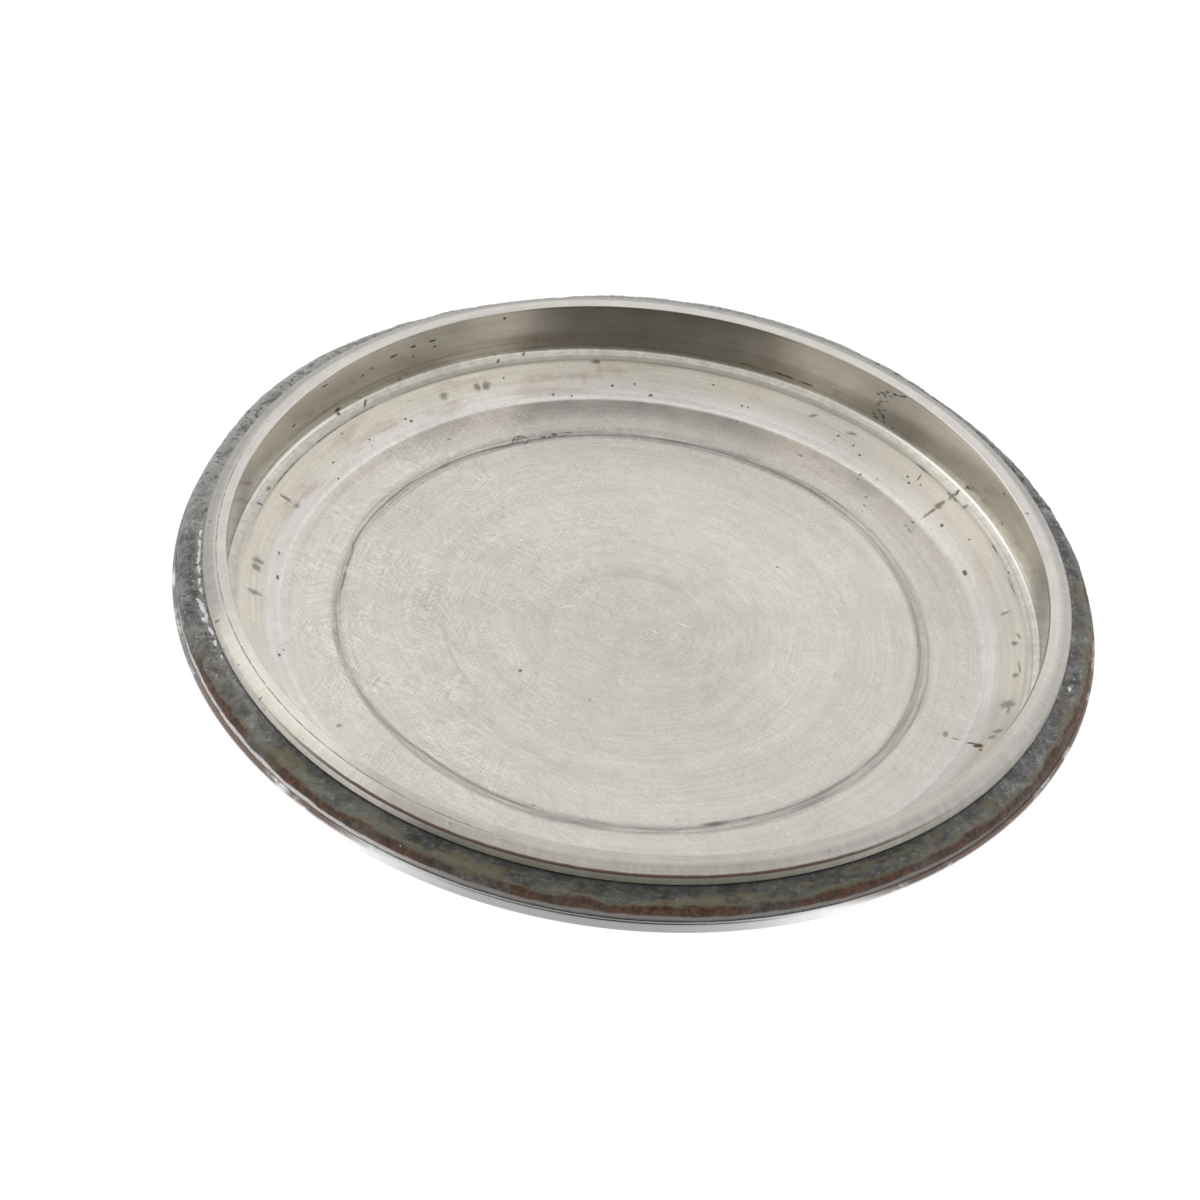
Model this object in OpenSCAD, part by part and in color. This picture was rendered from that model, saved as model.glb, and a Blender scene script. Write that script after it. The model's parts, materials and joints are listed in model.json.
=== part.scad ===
// Press-on case back of a wristwatch, inside up, with the ring gasket on its flange.
// Millimetres. The origin is at the centre of the flat outer face, and +Z points into the case.

/* [Flange] */
// Diameter over the flange, the widest part of the back
flange_d = 34.1; // [31:0.1:38]
// Thickness of the flange at its edge
flange_t = 0.45; // [0.35:0.05:0.8]
// Width of the flange outside the snap bead
flange_w = 1.07; // [0.9:0.01:1.5]
// Rounding of the two edges of the flange
flange_round = 0.1; // [0.05:0.01:0.15]

/* [Outer face] */
// Thickness of the floor
floor_t = 0.75; // [0.6:0.05:1]
// Height of the flange's underside above the flat outer face
shoulder_h = 1.9; // [1.7:0.05:2.3]
// Width of the shoulder between the flat outer face and the edge of the flange
shoulder_w = 3.7; // [3:0.1:4.5]
// Radius that blends the flat outer face into the shoulder
shoulder_blend_r = 2.5; // [0.5:0.1:4]

/* [Snap rim] */
// Thickness of the rim at the snap bead
rim_t = 0.86; // [0.75:0.01:1.1]
// Depth of the undercut below the snap bead, which holds the gasket
undercut = 0.24; // [0.1:0.01:0.35]
// Height of the cone between the undercut and the snap bead
undercut_rise = 0.1; // [0.05:0.01:0.3]
// Height of the straight part of the snap bead
bead_h = 0.39; // [0.25:0.01:0.7]
// Width of the lead-in bevel above the snap bead
bevel_w = 0.47; // [0.2:0.01:0.6]
// Height of the lead-in bevel
bevel_h = 0.21; // [0.1:0.01:0.4]
// Rounding of the inner edge of the lip
lip_round = 0.05; // [0.02:0.01:0.1]

/* [Floor] */
// Height of the foot of the inner wall, where the ledge starts, above the floor
ledge_h = 0.87; // [0.7:0.01:1.1]
// Width of the ledge
ledge_w = 0.42; // [0.2:0.01:0.6]
// Slope of the ledge down towards the cove, in degrees
ledge_slope = 12; // [0:1:20]
// Radius of the cove where the ledge drops to the conical step
ledge_cove_r = 0.08; // [0.04:0.01:0.15]
// Width of the conical step between the ledge and the floor
step_w = 1.52; // [1:0.01:2]

/* [Gasket] */
// Height of the gasket, flange to crown
gasket_h = 0.68; // [0.45:0.01:0.9]
// Distance from the edge of the flange in to the edge of the gasket
gasket_inset = 0.1; // [0.05:0.01:0.3]
// Gap between the gasket and the foot of the rim
gasket_gap = 0.05; // [0.02:0.01:0.1]
// Radius of the outer lower edge of the squashed gasket, whose upper side rounds over in the rest
gasket_foot_r = 0.23; // [0.1:0.01:0.3]
// Rounding of the inner upper edge of the gasket
gasket_in_round = 0.12; // [0.05:0.01:0.2]
// Gap between the crown of the gasket and the undercut above it
gasket_head_gap = 0.03; // [0.02:0.01:0.2]

/* [Hidden] */
$fn = 180;
arc_steps = 8;

// Radii, from the edge of the flange inwards
flange_r = flange_d / 2;
bead_r = flange_r - flange_w;
foot_r = bead_r - undercut;
cavity_r = bead_r - rim_t;
ledge_r = cavity_r - ledge_w;
step_r = ledge_r - ledge_cove_r;
floor_r = step_r - step_w;
flat_r = flange_r - shoulder_w;

// Heights, from the flat outer face upwards
wall_foot_z = floor_t + ledge_h;
ledge_edge_z = wall_foot_z - ledge_w * tan(ledge_slope);
seat_z = shoulder_h + flange_t;
foot_z = seat_z + gasket_h + gasket_head_gap;
bead_z = foot_z + undercut_rise;
bevel_z = bead_z + bead_h;
lip_z = bevel_z + bevel_h;

// The shoulder is a cone, tangent to the blend at its foot and to the rounding of the flange at its top
shoulder_angle = atan(shoulder_h / shoulder_w);
blend_run = shoulder_blend_r * tan(shoulder_angle / 2);
flange_round_r = flange_r - flange_round;
flange_round_z = (flange_round + (flange_round_r - flat_r) * sin(shoulder_angle)) / cos(shoulder_angle);

// Section of the gasket
gasket_in_r = foot_r + gasket_gap;
gasket_out_r = flange_r - gasket_inset;
gasket_top_z = seat_z + gasket_h;
gasket_crown_r = min(gasket_h - gasket_foot_r, (gasket_out_r - gasket_in_r) / 2);

// Points of an arc from one angle to another, both ends included
function arc(centre_r, centre_z, radius, from, to) = [
    for (i = [0 : arc_steps])
        let (a = from + (to - from) * i / arc_steps)
            [centre_r + radius * cos(a), centre_z + radius * sin(a)]
];

// Outer side of the back: flat face, shoulder and flange
outer_side = concat(
    [[0, 0]],
    arc(flat_r - blend_run, shoulder_blend_r, shoulder_blend_r, -90, shoulder_angle - 90),
    arc(flange_round_r, flange_round_z, flange_round, shoulder_angle - 90, 0),
    arc(flange_round_r, seat_z - flange_round, flange_round, 0, 90)
);

// Snap rim: foot, undercut, bead, lead-in bevel and lip
snap_rim = concat(
    [
        [foot_r, seat_z],
        [foot_r, foot_z],
        [bead_r, bead_z],
        [bead_r, bevel_z],
        [bead_r - bevel_w, lip_z]
    ],
    arc(cavity_r + lip_round, lip_z - lip_round, lip_round, 90, 180)
);

// Cavity: wall, ledge, cove, conical step and floor
cavity_side = concat(
    [[cavity_r, wall_foot_z]],
    arc(step_r, ledge_edge_z, ledge_cove_r, 0, -90),
    [
        [floor_r, floor_t],
        [0, floor_t]
    ]
);

module case_back() {
    color([0.78, 0.77, 0.75])
        rotate_extrude()
            polygon(concat(outer_side, snap_rim, cavity_side));
}

module gasket() {
    color([0.34, 0.34, 0.33])
        rotate_extrude()
            polygon(concat(
                [[gasket_in_r, seat_z]],
                arc(gasket_out_r - gasket_foot_r, seat_z + gasket_foot_r, gasket_foot_r, -90, 0),
                arc(gasket_out_r - gasket_crown_r, gasket_top_z - gasket_crown_r, gasket_crown_r, 0, 90),
                arc(gasket_in_r + gasket_in_round, gasket_top_z - gasket_in_round, gasket_in_round, 90, 180)
            ));
}

case_back();
gasket();
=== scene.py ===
"""Looks of a press-on watch case back with an old ring gasket, inside up, on a pale floor."""

import json
import math

import bmesh
import bpy
from mathutils import Matrix, Vector, noise


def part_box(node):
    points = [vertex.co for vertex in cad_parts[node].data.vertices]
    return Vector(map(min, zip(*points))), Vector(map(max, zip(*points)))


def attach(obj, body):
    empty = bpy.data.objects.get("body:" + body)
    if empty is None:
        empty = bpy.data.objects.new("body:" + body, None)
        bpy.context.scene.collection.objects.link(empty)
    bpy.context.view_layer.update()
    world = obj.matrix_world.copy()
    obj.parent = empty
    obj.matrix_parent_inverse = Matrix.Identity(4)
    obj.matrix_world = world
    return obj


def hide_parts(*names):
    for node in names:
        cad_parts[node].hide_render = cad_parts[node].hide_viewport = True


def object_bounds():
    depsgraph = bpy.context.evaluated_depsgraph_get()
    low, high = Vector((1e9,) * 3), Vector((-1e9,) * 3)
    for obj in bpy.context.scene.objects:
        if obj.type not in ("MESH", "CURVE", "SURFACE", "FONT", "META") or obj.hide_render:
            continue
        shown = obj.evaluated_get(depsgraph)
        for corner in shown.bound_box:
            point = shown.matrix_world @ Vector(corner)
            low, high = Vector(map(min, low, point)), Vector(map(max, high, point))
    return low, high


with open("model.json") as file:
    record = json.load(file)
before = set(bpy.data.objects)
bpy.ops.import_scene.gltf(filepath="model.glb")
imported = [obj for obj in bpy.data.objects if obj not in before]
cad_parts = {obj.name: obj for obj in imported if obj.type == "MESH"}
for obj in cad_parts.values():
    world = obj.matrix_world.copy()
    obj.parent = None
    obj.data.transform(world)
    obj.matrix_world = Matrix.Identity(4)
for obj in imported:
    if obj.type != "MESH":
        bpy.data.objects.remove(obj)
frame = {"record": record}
CAD_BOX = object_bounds()
GASKET_LOW, GASKET_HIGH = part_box("gasket")
DIMS = {mount["name"]: mount["dims"] for mount in frame["record"]["mounts"]}

MM = 0.001

# How far the turning marks stretch highlights across the circle
INSIDE_STRETCH = 0.7
WALL_STRETCH = 0.9
OUTSIDE_STRETCH = 0.5
# Share of a turn from the tangent to the direction in which they stretch
ACROSS = 0.25

# Sizes in millimetres, first those that the frame gives. The others are as in the solids, but with a
# steeper ledge and a sharper lower edge on the gasket
FLANGE_R = round(CAD_BOX[1].x / MM, 2)
LIP_Z = round(CAD_BOX[1].z / MM, 2)
BEAD_R = DIMS["snap_bead"]["r_mm"]
BEAD_H = DIMS["snap_bead"]["length_mm"]
CAVITY_R = DIMS["cavity"]["r_mm"]
SEAT_Z = round(GASKET_LOW.z / MM, 2)
GASKET_OUT_R = round(GASKET_HIGH.x / MM, 2)
GASKET_TOP_Z = round(GASKET_HIGH.z / MM, 2)
SHOULDER_W = 3.7
SHOULDER_H = 1.9
SHOULDER_BLEND = 2.5
FLANGE_ROUND = 0.1
BEVEL_W = 0.47
BEVEL_H = 0.21
BEVEL_Z = LIP_Z - BEVEL_H
BEAD_Z = BEVEL_Z - BEAD_H
UNDERCUT = 0.24
UNDERCUT_RISE = 0.1
FOOT_R = BEAD_R - UNDERCUT
FOOT_Z = BEAD_Z - UNDERCUT_RISE
FLOOR_Z = 0.75
LEDGE_H = 0.87
LEDGE_W = 0.42
WALL_FOOT_Z = FLOOR_Z + LEDGE_H
LEDGE_R = CAVITY_R - LEDGE_W
LEDGE_SLOPE = 20
LEDGE_Z = WALL_FOOT_Z - LEDGE_W * math.tan(math.radians(LEDGE_SLOPE))
COVE_R = 0.08
STEP_W = 1.52
STEP_Z = 1.43
STEP_R = LEDGE_R - COVE_R
FLOOR_R = STEP_R - STEP_W
GASKET_GAP = 0.05
GASKET_IN_R = FOOT_R + GASKET_GAP
GASKET_CROWN = 0.45
GASKET_FOOT = 0.04
GASKET_IN_ROUND = 0.12
# The gasket is squeezed up against the undercut inside the first radius, and worn most outside the second
GASKET_RAISED_R = 16.15
GASKET_WORN_R = 16.4
UNDERCUT_SLOPE = 0.41

# The worn ring that the movement left on the floor, its groove, and the radius that its tables count from
RING_R = 10.95
RING_DEPTH = 0.012
RING_WIDTH = 0.1
RING_BASE = 10.5

BACK_SEGMENTS = 720
GASKET_SEGMENTS = 1080


def rounded(corners, fine=9.0):
    """Line through corners of (r, z, fillet radius, zone after it, longest step), with fillets as arcs."""
    points, zones = [], []
    last = len(corners) - 1
    ends = []
    for i, (r, z, radius, _zone, _step) in enumerate(corners):
        here = Vector((r, z))
        if i in (0, last) or radius <= 0:
            ends.append([here])
            continue
        back = (Vector(corners[i - 1][:2]) - here).normalized()
        on = (Vector(corners[i + 1][:2]) - here).normalized()
        half = back.angle(on) / 2
        reach = radius / math.tan(half)
        centre = here + (back + on).normalized() * (radius / math.sin(half))
        start, stop = here + back * reach - centre, here + on * reach - centre
        turn = math.pi - 2 * half
        steps = max(2, math.ceil(math.degrees(turn) / fine))
        arc = []
        for k in range(steps + 1):
            share = k / steps
            a = math.sin((1 - share) * turn) / math.sin(turn)
            b = math.sin(share * turn) / math.sin(turn)
            arc.append(centre + start * a + stop * b)
        ends.append(arc)
    for i, arc in enumerate(ends):
        zone, step = corners[i][3], corners[i][4]
        for p in arc:
            points.append((p.x, p.y))
            zones.append(zone)
        if i < last:
            a, b = arc[-1], ends[i + 1][0]
            count = max(1, math.ceil((b - a).length / step))
            for k in range(1, count):
                p = a.lerp(b, k / count)
                points.append((p.x, p.y))
                zones.append(zone)
    return points, zones


def lathe(name, points, zones, segments, relief, closed):
    """Turned mesh about Z. relief(phi, r, z, zone) gives the moved r and z, in millimetres.

    phi is 0 at +X and grows towards -Y.
    """
    verts, faces, slots = [], [], []
    rings = []
    for (r, z), zone in zip(points, zones):
        if r < 1e-6:
            rings.append([len(verts)])
            verts.append((0.0, 0.0, z * MM))
            continue
        rings.append(list(range(len(verts), len(verts) + segments)))
        for k in range(segments):
            phi = 2 * math.pi * k / segments
            rr, zz = relief(phi, r, z, zone)
            verts.append((rr * MM * math.cos(phi), -rr * MM * math.sin(phi), zz * MM))
    pairs = list(zip(range(len(rings) - 1), range(1, len(rings))))
    if closed:
        pairs.append((len(rings) - 1, 0))
    for i, j in pairs:
        a, b = rings[i], rings[j]
        for k in range(segments):
            m = (k + 1) % segments
            if len(a) == 1:
                faces.append((a[0], b[k], b[m]))
            elif len(b) == 1:
                faces.append((a[m], a[k], b[0]))
            else:
                faces.append((a[k], b[k], b[m], a[m]))
            slots.append(zones[i])
    mesh = bpy.data.meshes.new(name)
    mesh.from_pydata(verts, [], faces)
    mesh.polygons.foreach_set("material_index", slots)
    mesh.polygons.foreach_set("use_smooth", [True] * len(faces))
    mesh.update()
    piece = bpy.data.objects.new(name, mesh)
    bpy.context.scene.collection.objects.link(piece)
    return piece


OUTSIDE, RIM, WALL, INSIDE = range(4)

BACK_CORNERS = [
    (0, 0, 0, OUTSIDE, 1.0),
    (FLANGE_R - SHOULDER_W, 0, SHOULDER_BLEND, OUTSIDE, 0.3),
    (FLANGE_R, SHOULDER_H, FLANGE_ROUND, OUTSIDE, 0.1),
    (FLANGE_R, SEAT_Z, FLANGE_ROUND, OUTSIDE, 0.1),
    (FOOT_R, SEAT_Z, 0, RIM, 0.2),
    (FOOT_R, FOOT_Z, 0, RIM, 0.1),
    (BEAD_R, BEAD_Z, 0.03, RIM, 0.1),
    (BEAD_R, BEVEL_Z, 0.06, RIM, 0.1),
    (BEAD_R - BEVEL_W, LIP_Z, 0.6, RIM, 0.1),
    (CAVITY_R, LIP_Z, 0.05, WALL, 0.1),
    (CAVITY_R, WALL_FOOT_Z, 0.07, INSIDE, 0.05),
    (LEDGE_R + 0.01, LEDGE_Z, 0.1, INSIDE, 0.03),
    (STEP_R - 0.01, STEP_Z, 0.12, INSIDE, 0.12),
    (FLOOR_R, FLOOR_Z, 0.5, INSIDE, 0.12),
    (RING_R + 0.3, FLOOR_Z, 0, INSIDE, 0.03),
    (RING_R - 0.3, FLOOR_Z, 0, INSIDE, 0.4),
    (0, FLOOR_Z, 0, INSIDE, 1.0),
]


def back_relief(phi, r, z, zone):
    if zone == INSIDE and z < FLOOR_Z + 0.001 and abs(r - RING_R) < 0.35:
        return r, z - RING_DEPTH * math.exp(-(((r - RING_R) / RING_WIDTH) ** 2))
    return r, z


# Where the gasket bulges out a little: angle in degrees, cosine of half its width, strength
BULGES = [(280, 0.88, 0.83), (214, 0.96, 1.8)]


def share_of(value):
    return min(1.0, max(0.0, value))


def gasket_relief(phi, r, z, zone):
    """Old, squashed and lumpy: hollows all over, a ragged raised inner edge and slight bulges."""
    if z < SEAT_Z + 0.02:
        return r, z
    c, s = math.cos(phi), math.sin(phi)
    lump = noise.fractal((c * r * 0.9, s * r * 0.9, z * 1.5), 0.9, 2.0, 4)
    fine = noise.fractal((c * r * 4.5 + 7, s * r * 4.5, z * 4.5), 0.8, 2.0, 3)
    depth = min(0.09, max(0.0, 0.03 + 0.03 * lump + 0.016 * fine))
    if z > SEAT_Z + 0.5 and r < GASKET_RAISED_R:
        rag = max(0.0, noise.fractal((c * 48, s * 48, 3.0), 0.7, 2.0, 3))
        lift = (0.07 + 0.03 * rag) * share_of((GASKET_RAISED_R - r) / 0.17)
        ceiling = FOOT_Z + max(0.0, r - FOOT_R) * UNDERCUT_SLOPE - 0.004
        inner = share_of((16.0 - r) / 0.15)
        return r + 0.05 * rag * inner, max(min(z + lift - 0.3 * depth, ceiling), z - depth)
    bulge = max(max(0.0, math.cos(phi - math.radians(a)) - edge) * strength for a, edge, strength in BULGES)
    outer = share_of((r - GASKET_WORN_R) / 0.4)
    top = share_of((z - SEAT_Z) / 0.4)
    return r - depth * outer * 0.9 * (1.0 - 9.0 * bulge) + bulge * outer, z - (depth - bulge * 1.2) * top


# Pale torn chips of the gasket, most of them on its inner top edge: angle in degrees, radius, half length,
# half width, twist in degrees
CHIPS = [
    (153.2, 16.06, 0.1, 0.035, 10), (156.0, 16.08, 0.12, 0.04, -8), (158.2, 16.07, 0.2, 0.04, 12),
    (160.4, 16.16, 0.13, 0.045, 35), (161.0, 16.08, 0.22, 0.045, -10), (162.6, 16.12, 0.26, 0.05, 14),
    (164.0, 16.2, 0.17, 0.035, 30), (166.2, 16.07, 0.12, 0.045, 0), (168.0, 16.08, 0.16, 0.045, -6),
    (170.2, 16.07, 0.18, 0.05, 6), (172.0, 16.09, 0.13, 0.045, 0), (173.6, 16.08, 0.2, 0.05, -4),
    (175.4, 16.09, 0.17, 0.05, 8), (177.4, 16.1, 0.14, 0.04, 0), (11.0, 16.3, 0.08, 0.04, 20),
    (114.5, 16.82, 0.03, 0.015, 0),
]
# Chips swell by these over the table. Those outside the limit lie on the side, the others on top
CHIP_LONGER = 1.5
CHIP_WIDER = 1.9
CHIP_THICK = 0.08
CHIP_SIDE_R = 16.5
CHIP_SIDE_Z = 2.78


def join_chips(piece, rows):
    """Small lumpy lozenges, half sunk in the gasket, with the second material."""
    bm = bmesh.new()
    bm.from_mesh(piece.data)
    for phi, r, long, wide, twist in rows:
        a = math.radians(phi)
        z = GASKET_TOP_Z - 0.02 if r < CHIP_SIDE_R else CHIP_SIDE_Z
        spot = Matrix.Translation((r * MM * math.cos(a), -r * MM * math.sin(a), z * MM))
        spin = Matrix.Rotation(-a - math.pi / 2 + math.radians(twist), 4, "Z")
        size = Matrix.Diagonal((long * CHIP_LONGER * MM, wide * CHIP_WIDER * MM, CHIP_THICK * MM, 1.0))
        made = bmesh.ops.create_icosphere(bm, subdivisions=3, radius=1.0)["verts"]
        for v in made:
            swell = 1.0 + 0.45 * noise.noise(v.co * 1.7 + Vector((phi, r, 0.0)))
            v.co = spot @ spin @ size @ (v.co * swell)
        for face in {f for v in made for f in v.link_faces}:
            face.material_index = 1
            face.smooth = True
    bm.to_mesh(piece.data)
    bm.free()


def gasket_outline():
    """Closed section of the gasket, with its last point left out."""
    corners = [
        (GASKET_IN_R, SEAT_Z, 0, 0, 0.1),
        (GASKET_OUT_R, SEAT_Z, GASKET_FOOT, 0, 0.1),
        (GASKET_OUT_R, GASKET_TOP_Z, GASKET_CROWN, 0, 0.06),
        (GASKET_IN_R, GASKET_TOP_Z, GASKET_IN_ROUND, 0, 0.06),
        (GASKET_IN_R, SEAT_Z + 0.001, 0, 0, 0.1),
    ]
    points, zones = rounded(corners, 10.0)
    return points[:-1], zones[:-1]


class Nodes:
    """Short calls for making shader nodes. Arguments are sockets or plain numbers."""

    def __init__(self, tree):
        self.tree = tree
        tree.nodes.clear()

    def new(self, kind, **settings):
        node = self.tree.nodes.new(kind)
        for key, value in settings.items():
            setattr(node, key, value)
        return node

    def put(self, socket, value):
        if isinstance(value, bpy.types.NodeSocket):
            self.tree.links.new(value, socket)
        else:
            socket.default_value = value

    def math(self, operation, a, b=0.0):
        node = self.new("ShaderNodeMath", operation=operation)
        self.put(node.inputs[0], a)
        self.put(node.inputs[1], b)
        return node.outputs[0]

    def chain(self, operation, first, *others):
        for other in others:
            first = self.math(operation, first, other)
        return first

    def add(self, *values):
        return self.chain("ADD", *values)

    def mul(self, *values):
        return self.chain("MULTIPLY", *values)

    def most(self, *values):
        return self.chain("MAXIMUM", *values)

    def less(self, a, b):
        return self.math("SUBTRACT", a, b)

    def apart(self, a, b):
        return self.math("ABSOLUTE", self.less(a, b))

    def about(self, value, amount):
        """A noise as a value about 0."""
        return self.mul(self.add(value, -0.5), amount)

    def swing(self, value, amount):
        """A noise as a factor about 1."""
        return self.ramp(value, 0.25, 0.75, 1.0 - amount, 1.0 + amount, smooth=False)

    def vector(self, operation, a, b=None, scale=None):
        node = self.new("ShaderNodeVectorMath", operation=operation)
        self.put(node.inputs[0], a)
        if b is not None:
            self.put(node.inputs[1], b)
        if scale is not None:
            self.put(node.inputs["Scale"], scale)
        return node.outputs["Value"] if operation in ("LENGTH", "DOT_PRODUCT") else node.outputs[0]

    def join(self, x, y, z):
        node = self.new("ShaderNodeCombineXYZ")
        for socket, value in zip(node.inputs, (x, y, z)):
            self.put(socket, value)
        return node.outputs[0]

    def split(self, vector):
        node = self.new("ShaderNodeSeparateXYZ")
        self.put(node.inputs[0], vector)
        return node.outputs[0], node.outputs[1], node.outputs[2]

    def ramp(self, value, lo, hi, out_lo=0.0, out_hi=1.0, smooth=True):
        node = self.new("ShaderNodeMapRange", interpolation_type="SMOOTHSTEP" if smooth else "LINEAR")
        names = ("Value", "From Min", "From Max", "To Min", "To Max")
        for name, v in zip(names, (value, lo, hi, out_lo, out_hi)):
            self.put(node.inputs[name], v)
        return node.outputs["Result"]

    def between(self, share, low, high):
        """From low to high as a share goes from 0 to 1."""
        return self.ramp(share, 0.0, 1.0, low, high)

    def band(self, value, middle, half, soft):
        """1 within half of a middle value, fading over soft."""
        return self.ramp(self.apart(value, middle), half + soft, half)

    def mix(self, share, a, b, clamped=True):
        node = self.new("ShaderNodeMix", data_type="RGBA", clamp_factor=clamped)
        for socket, v in ((node.inputs[0], share), (node.inputs[6], a), (node.inputs[7], b)):
            self.put(socket, (*v, 1.0) if isinstance(v, tuple) else v)
        return node.outputs[2]

    def over(self, colour, other, *shares):
        """A colour covered by another one, as far as the product of some shares says."""
        return self.mix(self.mul(*shares), colour, other)

    def scaled(self, colour, *factors):
        """A colour times the product of some factors."""
        return self.mix(self.mul(*factors), (0.0, 0.0, 0.0), colour, clamped=False)

    def course(self, share, rows, first=0.0, last=360.0):
        """Values along the circle, from rows of angle and hundredths. share is 0 at first and 1 at last."""
        node = self.new("ShaderNodeValToRGB")
        self.put(node.inputs[0], share)
        stops = node.color_ramp.elements
        for k, (angle, *values) in enumerate(rows):
            spot = (angle - first) / (last - first)
            stop = stops[k] if k < 2 else stops.new(spot)
            stop.position = spot
            red, green, blue = (values * 3)[:3]
            stop.color = (red / 100, green / 100, blue / 100, 1.0)
        return node.outputs[0]

    def noise(self, vector, scale, detail=3.0, rough=0.5, distort=0.0, output="Fac"):
        node = self.new("ShaderNodeTexNoise")
        names = ("Vector", "Scale", "Detail", "Roughness", "Distortion")
        for name, value in zip(names, (vector, scale, detail, rough, distort)):
            self.put(node.inputs[name], value)
        return node.outputs[output]

    def place(self, vector, at, angle, size):
        """Coordinates in which an ellipse at a place, turned by an angle, is the unit circle."""
        node = self.new("ShaderNodeMapping", vector_type="TEXTURE")
        self.put(node.inputs["Vector"], vector)
        node.inputs["Location"].default_value = at
        node.inputs["Rotation"].default_value = (0, 0, angle)
        node.inputs["Scale"].default_value = size
        return node.outputs[0]

    def bump(self, height, microns):
        node = self.new("ShaderNodeBump")
        node.inputs["Distance"].default_value = microns * 1e-6
        self.put(node.inputs["Height"], height)
        return node.outputs[0]

    def surface(self, **inputs):
        shader = self.new("ShaderNodeBsdfPrincipled")
        for key, v in inputs.items():
            self.put(shader.inputs[key.replace("_", " ")], v)
        out = self.new("ShaderNodeOutputMaterial")
        self.tree.links.new(shader.outputs[0], out.inputs[0])


def new_material(name):
    made = bpy.data.materials.new(name)
    made.use_nodes = True
    return made


class TurnedNodes(Nodes):
    """Nodes of a new material on a turned piece, with places in millimetres and directions in degrees."""

    def __init__(self, name):
        self.material = new_material(name)
        super().__init__(self.material.node_tree)
        coords = self.new("ShaderNodeTexCoord")
        self.point = self.vector("SCALE", coords.outputs["Object"], scale=1000.0)
        x, y, self.z = self.split(self.point)
        self.flat = self.join(x, y, 0.0)
        self.radius = self.vector("LENGTH", self.flat)
        self.unit = self.vector("NORMALIZE", self.flat)

    def window(self, middle, half, soft):
        """1 within half degrees of a middle angle, fading over soft degrees."""
        a = math.radians(middle)
        facing = self.vector("DOT_PRODUCT", self.unit, (math.cos(a), -math.sin(a), 0.0))
        return self.ramp(facing, math.cos(math.radians(half + soft)), math.cos(math.radians(half)))

    def streaks(self, spread, other, rate, detail=3.0, rough=0.5, unit=None):
        """A noise in streaks along the circle: slow round it, fast in the other direction."""
        x, y, _ = self.split(self.unit if unit is None else unit)
        lay = self.join(self.mul(x, spread), self.mul(y, spread), self.mul(other, rate))
        return self.noise(lay, 1.0, detail, rough)

    def spots(self, across, rows, wobble, hard, soft, reach=None, grow=1.0):
        """Share of the surface that a table of marks covers, with uneven edges. across is radius or z."""
        x, y, _ = self.split(self.unit)
        chart = self.join(self.math("ARCTAN2", x, y), across, 1.0)
        nearest = None
        for phi, middle, wide, tall, *twist in rows:
            # Angles count from the far side, so that the seam of the chart lies on the near side
            a = math.radians((phi - 270 + 180) % 360 - 180)
            middle, wide, tall = middle / 100, wide * grow / 100, tall * grow / 100
            arm = reach or middle
            if not twist:
                local = self.vector("MULTIPLY_ADD", chart, (arm / wide, 1 / tall, 0.0))
                local.node.inputs[2].default_value = (-a * arm / wide, -middle / tall, 0.0)
            else:
                c, d = math.cos(math.radians(twist[0])), math.sin(math.radians(twist[0]))
                along = (c * arm / wide, d / wide, -(c * a * arm + d * middle) / wide)
                up = (-d * arm / tall, c / tall, (d * a * arm - c * middle) / tall)
                along, up = (self.vector("DOT_PRODUCT", chart, row) for row in (along, up))
                local = self.join(along, up, 0.0)
            far = self.vector("LENGTH", local)
            nearest = far if nearest is None else self.math("MINIMUM", nearest, far)
        return self.ramp(self.add(nearest, wobble), soft, hard)

    def crumbs(self, rate, lowest, seed):
        """Sparse small pits: cells of which only some hold a pit."""
        cell = self.new("ShaderNodeTexVoronoi")
        self.put(cell.inputs["Vector"], self.vector("ADD", self.point, (seed, seed * 0.7, seed * 1.3)))
        cell.inputs["Scale"].default_value = rate
        pick = self.split(cell.outputs["Color"])[0]
        size = self.ramp(pick, lowest, 1.0, 0.0, 0.16, smooth=False)
        return self.ramp(self.less(size, cell.outputs["Distance"]), 0.0, 0.05)

    def turned_surface(self, stretch, colour, metal, rough, normal):
        """A surface whose turning marks stretch the highlights across the circle."""
        tangent = self.new("ShaderNodeTangent", direction_type="RADIAL", axis="Z").outputs[0]
        self.surface(
            Base_Color=colour, Metallic=metal, Roughness=rough, Normal=normal,
            Anisotropic=stretch, Anisotropic_Rotation=ACROSS, Tangent=tangent,
        )


STEEL = (0.60, 0.565, 0.52)
OUTSIDE_STEEL = (0.56, 0.545, 0.52)
DIRT = (0.055, 0.05, 0.045)
GREY_STAIN = (0.185, 0.178, 0.15)
RUST = (0.24, 0.11, 0.045)
DARK_RUST = (0.11, 0.04, 0.022)

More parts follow.
